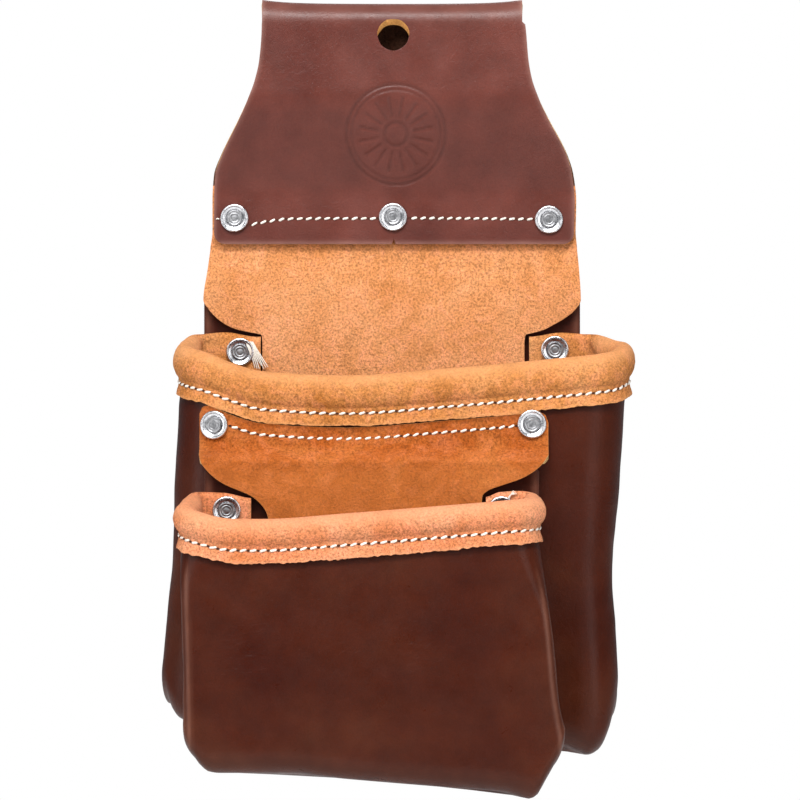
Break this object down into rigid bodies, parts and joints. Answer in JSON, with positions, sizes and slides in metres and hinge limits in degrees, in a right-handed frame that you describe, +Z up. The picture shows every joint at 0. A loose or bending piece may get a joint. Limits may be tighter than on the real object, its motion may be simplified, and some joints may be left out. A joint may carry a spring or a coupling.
{
  "type": "electrician tool pouch",
  "caption": "Leather tool pouch with a folded belt tunnel, a wide main pouch and a smaller outer pouch hung on its front, both with padded suede rims.",
  "frame": {"origin": "middle of the belt tunnel's height and width, on the flat grain face of the strap that lies against the wearer", "axes": "+Y out of that flat face, towards the wearer; +Z up the pouch, towards the fold; +X to the right of someone who looks at the front"},
  "size_m": [0.2577, 0.1401, 0.4263],
  "materials": {
    "oxblood_leather": "smooth oiled full-grain leather, oxblood brown",
    "chestnut_leather": "smooth full-grain leather, dark chestnut, with soft creases",
    "tan_suede": "flesh side of the leather, tan orange nap",
    "rust_suede": "flesh side of the leather, deeper rust orange nap",
    "peach_suede": "pale peach suede strip with a fuzzy nap",
    "filler_cord": "twisted cotton filler cord",
    "white_thread": "waxed bonded thread, off white",
    "brown_thread": "waxed bonded thread, dark brown",
    "nickel_plate": "pressed steel washer, bright nickel plate",
    "steel": "peened steel rivet, dull"
  },
  "bodies": {
    "belt_tunnel": {"belt_loop": "oxblood_leather", "flap_stitching_left": "white_thread", "flap_stitching_right": "white_thread", "flap_left_rivet": "steel", "flap_left_washer": "nickel_plate", "flap_middle_rivet": "steel", "flap_middle_washer": "nickel_plate", "flap_right_rivet": "steel", "flap_right_washer": "nickel_plate"},
    "main_pouch": {"back_panel": "tan_suede", "main_rear_wall": "chestnut_leather", "main_pouch_shell": "chestnut_leather", "main_rim_binding": "tan_suede", "main_rim_core": "filler_cord", "main_rim_stitching": "white_thread", "main_back_seam": "brown_thread", "outer_panel_strip": "rust_suede", "outer_panel_stitching": "white_thread", "main_mouth_left_rivet": "steel", "main_mouth_left_washer": "nickel_plate", "main_mouth_right_rivet": "steel", "main_mouth_right_washer": "nickel_plate", "panel_left_rivet": "steel", "panel_left_washer": "nickel_plate", "panel_right_rivet": "steel", "panel_right_washer": "nickel_plate"},
    "outer_pouch": {"outer_panel": "rust_suede", "outer_rear_wall": "chestnut_leather", "outer_pouch_shell": "chestnut_leather", "outer_rim_binding": "peach_suede", "outer_rim_core": "filler_cord", "outer_rim_stitching": "white_thread", "outer_back_seam": "brown_thread", "outer_mouth_left_rivet": "steel", "outer_mouth_left_washer": "nickel_plate", "outer_mouth_right_rivet": "steel", "outer_mouth_right_washer": "nickel_plate"}
  },
  "joints": [
    {"name": "main_pouch_swing", "type": "hinge", "parent": "belt_tunnel", "child": "main_pouch", "pos_m": [0, -0.0032, -0.08], "axis": [-1, 0, 0], "range_deg": [0, 30]},
    {"name": "outer_pouch_swing", "type": "hinge", "parent": "main_pouch", "child": "outer_pouch", "pos_m": [0, -0.0714, -0.187], "axis": [-1, 0, 0], "range_deg": [0, 25]}
  ]
}
